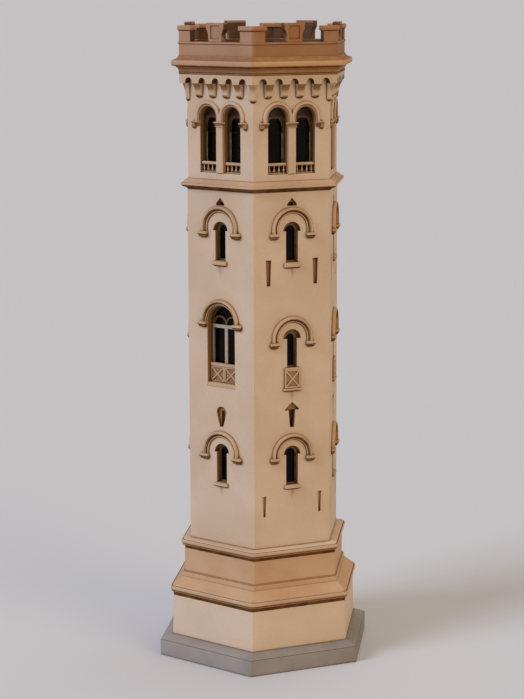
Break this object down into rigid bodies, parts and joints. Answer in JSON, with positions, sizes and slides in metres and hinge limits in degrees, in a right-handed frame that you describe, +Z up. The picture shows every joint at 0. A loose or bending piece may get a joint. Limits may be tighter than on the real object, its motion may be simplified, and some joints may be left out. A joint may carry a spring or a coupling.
{
  "type": "miniature landmark model",
  "caption": "Hexagonal watch-tower miniature: stepped plinth, tall shaft with hooded windows, arcaded belfry, corbel table and open battlemented roof.",
  "frame": {"origin": "centre of the base plate's underside", "axes": "+Z up the tower; one corner of every hexagon points along -Y; the wall numbered 2 looks along +X"},
  "size_m": [0.1334, 0.154, 0.424],
  "materials": {
    "grey_base": "matt painted",
    "screw": "plated",
    "dark_glass": "gloss black",
    "inner_floor": "raw casting",
    "window_frame": "matt painted",
    "wall_plaster": "matt cream paint, brown wash",
    "plinth_plaster": "matt cream paint, brown wash",
    "pedestal_plaster": "matt tan paint, brown wash",
    "trim_plaster": "matt tan paint, brown wash",
    "moulding_plaster": "matt tan paint, brown wash"
  },
  "bodies": {
    "root": {"base_plate": "grey_base", "base_screws": "screw", "belfry_arcade_0": "trim_plaster", "belfry_arcade_1": "trim_plaster", "belfry_arcade_2": "trim_plaster", "belfry_arcade_3": "trim_plaster", "belfry_arcade_4": "trim_plaster", "belfry_arcade_5": "trim_plaster", "belfry_balustrades": "trim_plaster", "belfry_frames": "window_frame", "belfry_glass": "dark_glass", "belfry_wall_0": "wall_plaster", "belfry_wall_1": "wall_plaster", "belfry_wall_2": "wall_plaster", "belfry_wall_3": "wall_plaster", "belfry_wall_4": "wall_plaster", "belfry_wall_5": "wall_plaster", "corbel_arcade_0": "trim_plaster", "corbel_arcade_1": "trim_plaster", "corbel_arcade_2": "trim_plaster", "corbel_arcade_3": "trim_plaster", "corbel_arcade_4": "trim_plaster", "corbel_arcade_5": "trim_plaster", "corner_caps": "moulding_plaster", "corner_merlons": "moulding_plaster", "hood_moulds_0": "trim_plaster", "hood_moulds_1": "trim_plaster", "hood_moulds_2": "trim_plaster", "hood_moulds_3": "trim_plaster", "hood_moulds_4": "trim_plaster", "hood_moulds_5": "trim_plaster", "large_window_frames": "window_frame", "lattice_aprons": "trim_plaster", "middle_merlons": "moulding_plaster", "parapet_walls": "moulding_plaster", "pedestal_block": "pedestal_plaster", "pedestal_moulding": "moulding_plaster", "plinth_block": "plinth_plaster", "plinth_moulding": "moulding_plaster", "roof_deck": "moulding_plaster", "shaft_floor_high": "inner_floor", "shaft_floor_low": "inner_floor", "shaft_glass": "dark_glass", "shaft_wall_0": "wall_plaster", "shaft_wall_1": "wall_plaster", "shaft_wall_2": "wall_plaster", "shaft_wall_3": "wall_plaster", "shaft_wall_4": "wall_plaster", "shaft_wall_5": "wall_plaster", "small_window_frames": "window_frame", "string_course": "moulding_plaster", "window_balconies": "trim_plaster", "window_sills_0": "trim_plaster", "window_sills_1": "trim_plaster", "window_sills_2": "trim_plaster", "window_sills_3": "trim_plaster", "window_sills_4": "trim_plaster", "window_sills_5": "trim_plaster"}
  },
  "joints": []
}
